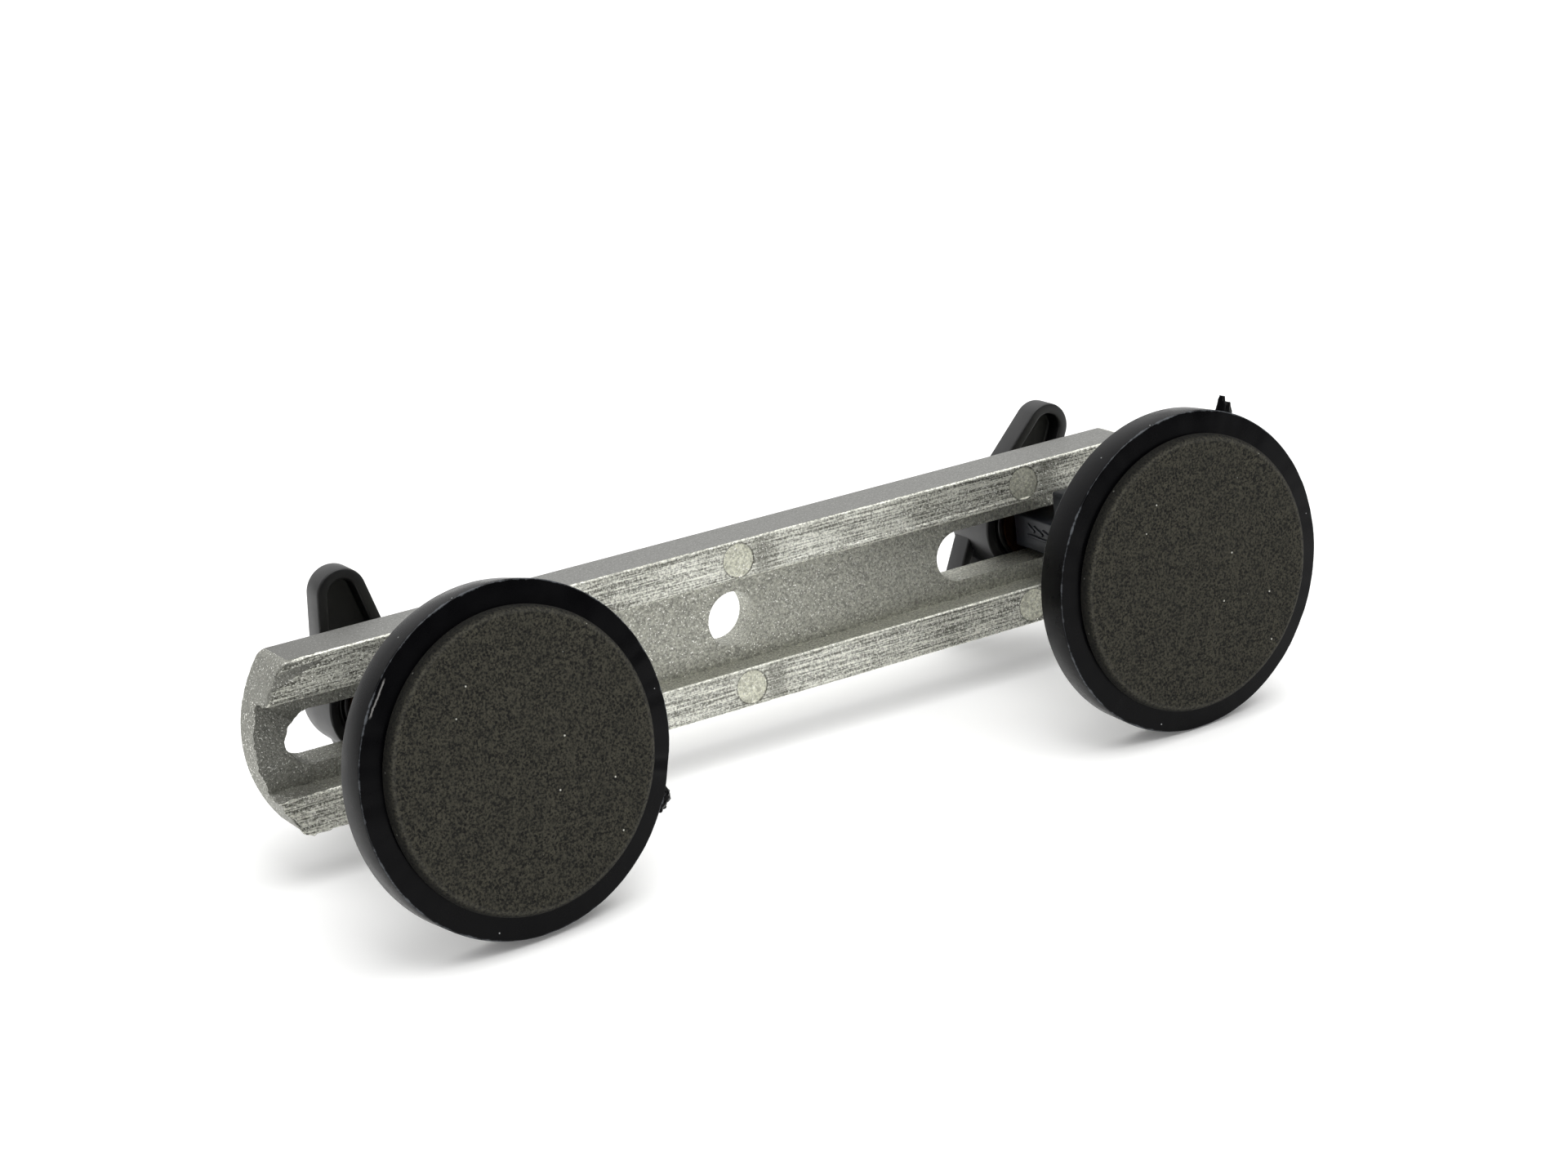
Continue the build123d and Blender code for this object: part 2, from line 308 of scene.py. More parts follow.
def gate_spike():
    """Two torn flakes standing up from the rim, one tall and one low."""
    flakes = []
    for width, height, angle, lean in ((1.7, 4.4, 21.0, -0.22), (1.9, 2.8, 23.0, 0.0)):
        bm = bmesh.new()
        bmesh.ops.create_cone(bm, cap_ends=True, segments=24, radius1=width * MM, radius2=0.6 * MM,
                              depth=height * MM)
        bmesh.ops.subdivide_edges(bm, edges=bm.edges, cuts=5, use_grid_fill=True)
        moved(bm, Matrix.Shear("XY", 4, (lean, 0)) @ Matrix.Diagonal((1, 0.6, 1, 1)))
        uneven(bm, 0.18 * MM, 0.8 * MM)
        uneven(bm, 0.08 * MM, 0.25 * MM)
        stand = Matrix.Translation((0, DISC_FRONT + 1.2 * MM, DISC_FRONT_RADIUS + 0.3 * MM))
        flakes.append(moved(bm, Matrix.Rotation(math.radians(angle), 4, "Y") @ stand))
    return join(*flakes)


def foam_face():
    """The foam disc: a soft edge, a slightly hollow side and a face full of small cells."""
    rings = 72
    profile = [((FOAM_RADIUS - FOAM_EDGE) * i / rings, FOAM_FRONT) for i in range(rings)]
    profile += arc((FOAM_RADIUS - FOAM_EDGE, FOAM_FRONT + FOAM_EDGE), FOAM_EDGE, -90, 0, 6)
    profile += [(FOAM_RADIUS - 0.08 * MM, (FOAM_FRONT + FOAM_BACK) / 2), (FOAM_RADIUS, FOAM_BACK), (0, FOAM_BACK)]
    bm = turned(profile, FINE)
    for vert in bm.verts:
        if vert.co.y < FOAM_BACK - 0.1 * MM:
            cells = noise.noise(vert.co / (0.7 * MM)) + noise.noise(vert.co / (7 * MM))
            vert.co.y += cells * 0.05 * MM
    return bm


def foot_stem():
    """One moulding in the foot's own frame: shank, shoulder, tapered post and ball."""
    ball_y = BALL["left"].y
    meet = math.degrees(math.acos(NECK_RADIUS / BALL_RADIUS))
    post = turned([(0, POST_ROOT), (POST_RADIUS, POST_ROOT), (POST_RADIUS, POST_TAPER), (NECK_RADIUS, NECK_START)]
                  + arc((0, ball_y), BALL_RADIUS, meet, -90, 24), MEDIUM)
    shank = soften(block(SHANK, (0, SHANK_MIDDLE, 0)), 0.35 * MM)
    bmesh.ops.subdivide_edges(shank, edges=shank.edges, cuts=3, use_grid_fill=True)
    uneven(shank, 0.06 * MM, 1.5 * MM)
    shoulder = soften(block(SHOULDER, (0, SHOULDER_MIDDLE, 0)), 0.5 * MM)
    parts = [post, shank, shoulder]
    for length, depth, height, lean in ((8.4, -8.6, -0.5, 2), (2.4, -5.6, 1.2, 30), (3.0, -7.8, 1.0, 24),
                                        (2.6, -10.4, 0.9, 20)):
        ridge = soften(block((0.6 * MM, length * MM, 0.6 * MM), (0, 0, 0)), 0.15 * MM)
        bmesh.ops.subdivide_edges(ridge, edges=ridge.edges, cuts=3, use_grid_fill=True)
        uneven(ridge, 0.12 * MM, 0.8 * MM)
        place = Matrix.Translation((-SHANK[0] / 2, depth * MM, height * MM))
        parts.append(moved(ridge, place @ Matrix.Rotation(math.radians(lean), 4, "X")))
    return join(*parts)


def threaded_stud():
    """The M5 stud: one thread turned up the shaft, and a chamfered tip."""
    bm = bmesh.new()
    crest, root = 0.125 * THREAD_PITCH, 0.25 * THREAD_PITCH
    flank = (THREAD_PITCH - crest - root) / 2
    profile = [(THREAD_RADIUS, 0), (THREAD_RADIUS, crest), (THREAD_ROOT, crest + flank),
               (THREAD_ROOT, crest + flank + root), (THREAD_RADIUS, THREAD_PITCH)]
    verts = [bm.verts.new((radius, THREAD_START + depth, 0)) for radius, depth in profile]
    edges = [bm.edges.new(pair) for pair in zip(verts, verts[1:])]
    steps = 40
    turns = int((THREAD_END - THREAD_START) / THREAD_PITCH) - 1
    bmesh.ops.spin(bm, geom=verts + edges, cent=(0, 0, 0), axis=(0, -1, 0), angle=turns * 2 * math.pi,
                   dvec=(0, THREAD_PITCH / steps, 0), steps=turns * steps, use_merge=False)
    bmesh.ops.remove_doubles(bm, verts=bm.verts, dist=0.002 * MM)
    bmesh.ops.holes_fill(bm, edges=bm.edges, sides=0)
    bmesh.ops.recalc_face_normals(bm, faces=bm.faces)
    tip = turned([(0, THREAD_END - 1.2 * MM), (THREAD_ROOT, THREAD_END - 1.2 * MM), (THREAD_ROOT, STUD_END - 0.3 * MM),
                  (THREAD_ROOT - 0.3 * MM, STUD_END), (0, STUD_END)], 48)
    return join(bm, tip)


def brass_insert():
    """The flanged brass insert, turned from bar."""
    bm = turned([(INSERT_BORE, INSERT_FRONT), (FLANGE_RADIUS, INSERT_FRONT), (FLANGE_RADIUS, FLANGE_BACK),
                 (BARREL_RADIUS, FLANGE_BACK), (BARREL_RADIUS, INSERT_BACK), (INSERT_BORE, INSERT_BACK)],
                MEDIUM, closed=True)
    return soften(bm, 0.15 * MM, segments=2)


def wing(turn):
    """One pocketed wing of the nut."""
    bm = bmesh.new()
    depth = WING_BACK - WING_FRONT
    for radius, height in ((WING_ROOT_RADIUS, 0), (WING_TIP_RADIUS, WING_TIP_CENTRE)):
        place = Matrix.Translation((0, (WING_FRONT + WING_BACK) / 2, height)) @ ALONG_Y
        bmesh.ops.create_cone(bm, cap_ends=True, segments=80, radius1=radius, radius2=radius, depth=depth,
                              matrix=place)
    hull = bmesh.ops.convex_hull(bm, input=bm.verts)
    inside = [v for v in hull["geom_interior"] if isinstance(v, bmesh.types.BMVert)]
    bmesh.ops.delete(bm, geom=inside, context="VERTS")
    old = [f for f in hull["geom_unused"] if isinstance(f, bmesh.types.BMFace) and f.is_valid]
    bmesh.ops.delete(bm, geom=old, context="FACES")
    bmesh.ops.dissolve_limit(bm, angle_limit=math.radians(1), verts=bm.verts, edges=bm.edges)
    cut = bmesh.ops.bisect_plane(bm, geom=bm.verts[:] + bm.edges[:] + bm.faces[:], dist=0.001 * MM,
                                 plane_co=(0, 0, WING_CUT), plane_no=(0, 0, 1), clear_inner=True)
    rim = [e for e in cut["geom_cut"] if isinstance(e, bmesh.types.BMEdge)]
    bmesh.ops.contextual_create(bm, geom=rim)
    bmesh.ops.recalc_face_normals(bm, faces=bm.faces)
    face = min(bm.faces, key=lambda f: f.calc_center_median().y)
    bmesh.ops.inset_region(bm, faces=[face], thickness=WING_BORDER, depth=0, use_even_offset=True)
    floor = bmesh.ops.extrude_face_region(bm, geom=[face])
    bmesh.ops.delete(bm, geom=[face], context="FACES_ONLY")
    sunk = [v for v in floor["geom"] if isinstance(v, bmesh.types.BMVert)]
    bmesh.ops.translate(bm, vec=(0, POCKET_DEPTH, 0), verts=sunk)
    bmesh.ops.recalc_face_normals(bm, faces=bm.faces)
    soften(bm, 0.38 * MM, sharper_than=50)
    return moved(bm, Matrix.Rotation(turn, 4, "Y"))


def wing_nut():
    """The moulded nut in its own frame: a round hub with a dished front, and two wings."""
    hub = turned([(BARREL_RADIUS, FLANGE_BACK), (SEAT_RADIUS, FLANGE_BACK), (SEAT_RADIUS, CUP_FLOOR),
                  (CUP_RADIUS, CUP_FLOOR), (CUP_RADIUS, HUB_FRONT), (HUB_RADIUS, HUB_FRONT), (HUB_RADIUS, HUB_BACK),
                  (STUD_HOLE_RADIUS, HUB_BACK), (STUD_HOLE_RADIUS, INSERT_BACK), (BARREL_RADIUS, INSERT_BACK)],
                 MEDIUM, closed=True)
    soften(hub, 0.35 * MM)
    return join(hub, wing(0), wing(math.pi))


# --- materials -----------------------------------------------------------------------------------
def srgb(code):
    """A colour given as an sRGB hex code, in linear values."""
    channels = [int(code[i:i + 2], 16) / 255 for i in (1, 3, 5)]
    return (*(c / 12.92 if c <= 0.04045 else ((c + 0.055) / 1.055) ** 2.4 for c in channels), 1.0)


def add(tree, kind, values, links, **settings):
    """Adds a node with its settings, its sockets' values and what its sockets are linked to."""
    node = tree.nodes.new(kind)
    for name, value in settings.items():
        setattr(node, name, value)
    for socket, value in values.items():
        node.inputs[socket].default_value = value
    for socket, source in links.items():
        tree.links.new(source, node.inputs[socket])
    return node


def material_with(name, constants, placed=Matrix.Identity(4)):
    """A material, its node tree, its shader, and the place in the piece's own frame in millimetres."""
    material = bpy.data.materials.new(name)
    material.use_nodes = True
    tree = material.node_tree
    shader = tree.nodes["Principled BSDF"]
    for socket, value in constants.items():
        shader.inputs[socket].default_value = value
    place = add(tree, "ShaderNodeTexCoord", {}, {})
    to_own = placed.inverted()
    own = add(tree, "ShaderNodeMapping", {"Scale": (1 / MM, 1 / MM, 1 / MM), "Rotation": to_own.to_euler(),
                                          "Location": to_own.translation / MM}, {"Vector": place.outputs["Object"]})
    return material, tree, shader, own.outputs["Vector"]


def linished_cast_aluminium():
    """Die-cast aluminium, its rails linished on a belt: a sparkling grain in the channel, fine streaks
    along the rails, and round ejector marks that the belt only half removed."""
    material, tree, shader, place = material_with("linished_cast_aluminium", {"Metallic": 1.0})
    axes = add(tree, "ShaderNodeSeparateXYZ", {}, {"Vector": place})
    across = add(tree, "ShaderNodeMath", {}, {0: axes.outputs["Z"]}, operation="ABSOLUTE")

    grain_size, speck_size, cloud_size, streak_length, streak_width = 0.42, 0.3, 7.0, 10.0, 0.24
    grain = add(tree, "ShaderNodeTexNoise", {"Scale": 1 / grain_size, "Detail": 3.0, "Roughness": 0.6},
                {"Vector": place})
    grain_light = add(tree, "ShaderNodeMapRange", {"From Min": 0.34, "From Max": 0.66},
                      {"Value": grain.outputs["Fac"]})
    specks = add(tree, "ShaderNodeTexNoise", {"Scale": 1 / speck_size, "Detail": 1.0}, {"Vector": place})
    sparkle = add(tree, "ShaderNodeMapRange", {"From Min": 0.63, "From Max": 0.72}, {"Value": specks.outputs["Fac"]})
    cloud = add(tree, "ShaderNodeTexNoise", {"Scale": 1 / cloud_size, "Detail": 3.0}, {"Vector": place})
    along = add(tree, "ShaderNodeMapping", {"Scale": (1 / streak_length, 1 / streak_width, 1 / streak_width)},
                {"Vector": place})
    streak = add(tree, "ShaderNodeTexNoise", {"Scale": 1.0, "Detail": 5.0, "Roughness": 0.7},
                 {"Vector": along.outputs["Vector"]})

    face_y = RAIL_FACE / MM
    rail = add(tree, "ShaderNodeMath", {1: face_y + 0.05}, {0: axes.outputs["Y"]}, operation="LESS_THAN")
    skin = add(tree, "ShaderNodeMath", {1: BAR_HIGH.z / MM - 0.02}, {0: across.outputs[0]},
               operation="GREATER_THAN")
    front = add(tree, "ShaderNodeMath", {1: face_y + 0.3}, {0: axes.outputs["Y"]}, operation="LESS_THAN")

    half = EJECTOR_SPACING / 2
    beside = add(tree, "ShaderNodeMath", {1: half, 2: -half}, {0: axes.outputs["X"]}, operation="WRAP")
    above = add(tree, "ShaderNodeMath", {1: EJECTOR_OFFSET}, {0: across.outputs[0]}, operation="SUBTRACT")
    offset = add(tree, "ShaderNodeCombineXYZ", {}, {"X": beside.outputs[0], "Y": above.outputs[0]})
    radius = add(tree, "ShaderNodeVectorMath", {}, {0: offset.outputs[0]}, operation="LENGTH")
    mark = add(tree, "ShaderNodeMapRange", {"From Min": EJECTOR_RADIUS + 0.03, "From Max": EJECTOR_RADIUS - 0.03},
               {"Value": radius.outputs["Value"]})
    mark_here = add(tree, "ShaderNodeMath", {}, {0: mark.outputs[0], 1: front.outputs[0]}, operation="MULTIPLY")
    ring_far = add(tree, "ShaderNodeMath", {1: EJECTOR_RADIUS}, {0: radius.outputs["Value"]}, operation="SUBTRACT")
    ring_width = add(tree, "ShaderNodeMath", {}, {0: ring_far.outputs[0]}, operation="ABSOLUTE")
    ring = add(tree, "ShaderNodeMapRange", {"From Min": 0.22, "From Max": 0.04, "To Max": 0.6},
               {"Value": ring_width.outputs[0]})
    ring_here = add(tree, "ShaderNodeMath", {}, {0: ring.outputs[0], 1: front.outputs[0]}, operation="MULTIPLY")
    past_mark = add(tree, "ShaderNodeMapRange", {"From Min": 2.6, "From Max": 4.2}, {"Value": beside.outputs[0]},
                    interpolation_type="SMOOTHSTEP")
    fades = add(tree, "ShaderNodeMapRange", {"From Min": 8.5, "From Max": 5.0, "To Max": 0.5},
                {"Value": beside.outputs[0]}, interpolation_type="SMOOTHSTEP")
    smear = add(tree, "ShaderNodeMath", {}, {0: past_mark.outputs[0], 1: fades.outputs[0]}, operation="MULTIPLY")
    smear_here = add(tree, "ShaderNodeMath", {}, {0: smear.outputs[0], 1: rail.outputs[0]}, operation="MULTIPLY")

    cast = add(tree, "ShaderNodeMix", {6: srgb("#91918a"), 7: srgb("#cbcbc0")}, {"Factor": grain_light.outputs[0]},
               data_type="RGBA")
    tumbled = add(tree, "ShaderNodeMix", {6: srgb("#838380"), 7: srgb("#959592")}, {"Factor": grain_light.outputs[0]},
                  data_type="RGBA")
    scratched = add(tree, "ShaderNodeMix", {"Factor": 0.4}, {2: streak.outputs["Fac"], 3: grain.outputs["Fac"]})
    streak_light = add(tree, "ShaderNodeMapRange", {"From Min": 0.43, "From Max": 0.57},
                       {"Value": scratched.outputs[0]})
    drawn = add(tree, "ShaderNodeMix", {6: srgb("#4f4f49"), 7: srgb("#c8c8bc")}, {"Factor": streak_light.outputs[0]},
                data_type="RGBA")
    belt = add(tree, "ShaderNodeMix", {6: srgb("#85857c"), 7: srgb("#fffff6")}, {"Factor": streak_light.outputs[0]},
               data_type="RGBA")
    from_middle = add(tree, "ShaderNodeMath", {}, {0: axes.outputs["X"]}, operation="ABSOLUTE")
    middle = add(tree, "ShaderNodeMapRange", {"From Min": 48, "From Max": 14, "To Min": 0.1, "To Max": 0.65},
                 {"Value": from_middle.outputs[0]}, interpolation_type="SMOOTHSTEP")
    patches = add(tree, "ShaderNodeMapRange", {"From Min": 0.36, "From Max": 0.62, "To Min": 0.1, "To Max": 0.45},
                  {"Value": cloud.outputs["Fac"]})
    polish = add(tree, "ShaderNodeMath", {}, {0: middle.outputs[0], 1: patches.outputs[0]}, operation="ADD")
    linished = add(tree, "ShaderNodeMix", {}, {"Factor": polish.outputs[0], 6: drawn.outputs[2], 7: belt.outputs[2]},
                   data_type="RGBA")
    rails = add(tree, "ShaderNodeMix", {}, {"Factor": rail.outputs[0], 6: cast.outputs[2], 7: linished.outputs[2]},
                data_type="RGBA")
    faces = add(tree, "ShaderNodeMix", {}, {"Factor": skin.outputs[0], 6: rails.outputs[2], 7: tumbled.outputs[2]},
                data_type="RGBA")
    not_rail = add(tree, "ShaderNodeMath", {0: 1.0}, {1: rail.outputs[0]}, operation="SUBTRACT")
    at_end = add(tree, "ShaderNodeMapRange", {"From Min": BAR_LOW.x / MM + 22, "From Max": BAR_LOW.x / MM + 9,
                                              "To Max": 0.55}, {"Value": axes.outputs["X"]})
    end_here = add(tree, "ShaderNodeMath", {}, {0: at_end.outputs[0], 1: not_rail.outputs[0]}, operation="MULTIPLY")
    ended = add(tree, "ShaderNodeMix", {7: srgb("#6a6a66")}, {"Factor": end_here.outputs[0], 6: faces.outputs[2]},
                data_type="RGBA")
    smeared = add(tree, "ShaderNodeMix", {7: srgb("#84847b")}, {"Factor": smear_here.outputs[0], 6: ended.outputs[2]},
                  data_type="RGBA")
    pressed = add(tree, "ShaderNodeMix", {6: srgb("#b4b4a6"), 7: srgb("#f0f0e0")},
                  {"Factor": grain_light.outputs[0]}, data_type="RGBA")
    marked = add(tree, "ShaderNodeMix", {}, {"Factor": mark_here.outputs[0], 6: smeared.outputs[2],
                                            7: pressed.outputs[2]}, data_type="RGBA")
    ringed = add(tree, "ShaderNodeMix", {7: srgb("#55554e")}, {"Factor": ring_here.outputs[0], 6: marked.outputs[2]},
                 data_type="RGBA")

    # Painted highlight: a pale line along the rails' front edges and the channel's mouth, standing for the light that
    # their small chamfers catch.
    edge_glint = None
    for place_z, width in ((BAR_HIGH.z / MM - 0.1, 0.35), (CHANNEL_HALF_MOUTH + 0.1, 0.3)):
        away = add(tree, "ShaderNodeMath", {1: place_z}, {0: across.outputs[0]}, operation="SUBTRACT")
        near = add(tree, "ShaderNodeMath", {}, {0: away.outputs[0]}, operation="ABSOLUTE")
        glint = add(tree, "ShaderNodeMapRange", {"From Min": width, "From Max": 0.1}, {"Value": near.outputs[0]})
        if edge_glint:
            glint = add(tree, "ShaderNodeMath", {}, {0: glint.outputs[0], 1: edge_glint.outputs[0]},
                        operation="MAXIMUM")
        edge_glint = glint
    broken = add(tree, "ShaderNodeMapRange", {"From Min": 0.42, "From Max": 0.58, "To Min": 0.25},
                 {"Value": grain.outputs["Fac"]})
    glint_broken = add(tree, "ShaderNodeMath", {}, {0: edge_glint.outputs[0], 1: broken.outputs[0]},
                       operation="MULTIPLY")
    glint_here = add(tree, "ShaderNodeMath", {}, {0: glint_broken.outputs[0], 1: front.outputs[0]},
                     operation="MULTIPLY")
    edged = add(tree, "ShaderNodeMix", {7: srgb("#f4f4ea")}, {"Factor": glint_here.outputs[0], 6: ringed.outputs[2]},
                data_type="RGBA")
    dull_skin = add(tree, "ShaderNodeMapRange", {"To Min": 1.0, "To Max": 0.25}, {"Value": skin.outputs[0]})
    sparkle_here = add(tree, "ShaderNodeMath", {}, {0: sparkle.outputs[0], 1: dull_skin.outputs[0]},
                       operation="MULTIPLY")
    final = add(tree, "ShaderNodeMix", {7: srgb("#fbfbf4")}, {"Factor": sparkle_here.outputs[0], 6: edged.outputs[2]},
                data_type="RGBA")
    tree.links.new(final.outputs[2], shader.inputs["Base Color"])

    rough = add(tree, "ShaderNodeMapRange", {"To Min": 0.58, "To Max": 0.25}, {"Value": sparkle_here.outputs[0]})
    tree.links.new(rough.outputs[0], shader.inputs["Roughness"])
    streak_share = add(tree, "ShaderNodeMath", {}, {0: streak_light.outputs[0], 1: rail.outputs[0]},
                       operation="MULTIPLY")
    height = add(tree, "ShaderNodeMath", {}, {0: grain_light.outputs[0], 1: streak_share.outputs[0]},
                 operation="ADD")
    relief = add(tree, "ShaderNodeMath", {}, {0: height.outputs[0], 1: dull_skin.outputs[0]}, operation="MULTIPLY")
    bump = add(tree, "ShaderNodeBump", {"Strength": 1.0, "Distance": 0.05 * MM}, {"Height": relief.outputs[0]})
    tree.links.new(bump.outputs["Normal"], shader.inputs["Normal"])
    return material


def worn_and_highlit_edge(tree, place, colour):
    """The disc's front corner is rubbed grey in places, where its flash was trimmed off by hand; the same grey line
    is also a painted highlight along that corner.
    """
    axes = add(tree, "ShaderNodeSeparateXYZ", {}, {"Vector": place})
    flat = add(tree, "ShaderNodeCombineXYZ", {}, {"X": axes.outputs["X"], "Y": axes.outputs["Z"]})
    radius = add(tree, "ShaderNodeVectorMath", {}, {0: flat.outputs[0]}, operation="LENGTH")
    out = add(tree, "ShaderNodeMath", {1: DISC_FRONT_RADIUS / MM - 0.12}, {0: radius.outputs["Value"]},
              operation="SUBTRACT")
    back = add(tree, "ShaderNodeMath", {1: DISC_FRONT / MM + 0.12}, {0: axes.outputs["Y"]}, operation="SUBTRACT")
    away = add(tree, "ShaderNodeCombineXYZ", {}, {"X": out.outputs[0], "Y": back.outputs[0]})
    gap = add(tree, "ShaderNodeVectorMath", {}, {0: away.outputs[0]}, operation="LENGTH")
    ragged = add(tree, "ShaderNodeTexNoise", {"Scale": 1 / 3.0, "Detail": 6.0, "Roughness": 0.75}, {"Vector": place})
    reach = add(tree, "ShaderNodeMapRange", {"From Min": 0.42, "From Max": 0.66, "To Min": 0.08, "To Max": 0.36},
                {"Value": ragged.outputs["Fac"]})
    inside = add(tree, "ShaderNodeMath", {}, {0: reach.outputs[0], 1: gap.outputs["Value"]}, operation="SUBTRACT")
    # Partly real wear, partly a painted highlight along the front corner.
    wear_and_highlight = add(tree, "ShaderNodeMapRange", {"From Min": 0.0, "From Max": 0.2, "To Max": 0.42},
               {"Value": inside.outputs[0]})
    return add(tree, "ShaderNodeMix", {7: srgb("#7d8186")}, {"Factor": wear_and_highlight.outputs[0], 6: colour},
               data_type="RGBA").outputs[2]


def pale_scrape(tree, place, colour):
    """One pale scrape across the left disc's front corner."""
    turned_place = add(tree, "ShaderNodeVectorRotate", {"Axis": (0, 1, 0), "Angle": math.radians(SCRAPE_ANGLE)},
                       {"Vector": place})
    axes = add(tree, "ShaderNodeSeparateXYZ", {}, {"Vector": turned_place.outputs[0]})
    wander = add(tree, "ShaderNodeTexNoise", {"Scale": 1 / 1.6, "Detail": 4.0, "Roughness": 0.7}, {"Vector": place})
    bent = add(tree, "ShaderNodeMapRange", {"From Min": 0.3, "From Max": 0.7, "To Min": -0.15, "To Max": 0.15},
               {"Value": wander.outputs["Fac"]})
    out = add(tree, "ShaderNodeMath", {1: DISC_FRONT_RADIUS / MM - 0.9}, {0: axes.outputs["X"]},
              operation="SUBTRACT")
    off = add(tree, "ShaderNodeMath", {}, {0: out.outputs[0], 1: bent.outputs[0]}, operation="SUBTRACT")
    across = add(tree, "ShaderNodeMath", {}, {0: off.outputs[0]}, operation="ABSOLUTE")
    thin = add(tree, "ShaderNodeMapRange", {"From Min": 0.2, "From Max": 0.05, "To Max": 0.7}, {"Value": across.outputs[0]})
    along = add(tree, "ShaderNodeMath", {}, {0: axes.outputs["Z"]}, operation="ABSOLUTE")
    ends = add(tree, "ShaderNodeMapRange", {"From Min": 3.4, "From Max": 2.6, "To Max": 0.8},
               {"Value": along.outputs[0]})
    scrape = add(tree, "ShaderNodeMath", {}, {0: thin.outputs[0], 1: ends.outputs[0]}, operation="MULTIPLY")
    return add(tree, "ShaderNodeMix", {7: srgb("#a5a3a1")}, {"Factor": scrape.outputs[0], 6: colour},
               data_type="RGBA").outputs[2]


def moulded_plastic(name, dark, light, gloss, dull, bright, grain_size, relief, specks,
                    placed=Matrix.Identity(4), marks=()):
    """Black injection moulding. Fine grain breaks up its gloss, flow makes it a little uneven, and dust
    and nicks show as sparse pale specks."""
    material, tree, shader, place = material_with(name, {"IOR": 1.5, "Specular IOR Level": gloss}, placed)
    flow = add(tree, "ShaderNodeTexNoise", {"Scale": 1 / 6.0, "Detail": 4.0}, {"Vector": place})
    grain = add(tree, "ShaderNodeTexNoise", {"Scale": 1 / grain_size, "Detail": 2.0}, {"Vector": place})
    base = add(tree, "ShaderNodeMix", {6: srgb(dark), 7: srgb(light)}, {"Factor": flow.outputs["Fac"]},
               data_type="RGBA")
    cells = add(tree, "ShaderNodeTexVoronoi", {"Scale": 1 / 3.0}, {"Vector": place})
    chosen = add(tree, "ShaderNodeSeparateXYZ", {}, {"Vector": cells.outputs["Color"]})
    rare = add(tree, "ShaderNodeMath", {1: 1 - specks}, {0: chosen.outputs["X"]}, operation="GREATER_THAN")
    size = add(tree, "ShaderNodeMapRange", {"From Min": 0.05, "From Max": 0.03}, {"Value": cells.outputs["Distance"]})
    speck = add(tree, "ShaderNodeMath", {}, {0: rare.outputs[0], 1: size.outputs[0]}, operation="MULTIPLY")
    colour = add(tree, "ShaderNodeMix", {7: srgb("#b4b6b6")}, {"Factor": speck.outputs[0], 6: base.outputs[2]},
                 data_type="RGBA").outputs[2]
    for mark in marks:
        colour = mark(tree, place, colour)
    tree.links.new(colour, shader.inputs["Base Color"])
    rough = add(tree, "ShaderNodeMapRange", {"From Min": 0.3, "From Max": 0.7, "To Min": bright, "To Max": dull},
                {"Value": flow.outputs["Fac"]})
    tree.links.new(rough.outputs[0], shader.inputs["Roughness"])
    bump = add(tree, "ShaderNodeBump", {"Strength": 1.0, "Distance": relief * MM}, {"Height": grain.outputs["Fac"]})
    tree.links.new(bump.outputs["Normal"], shader.inputs["Normal"])
    return material


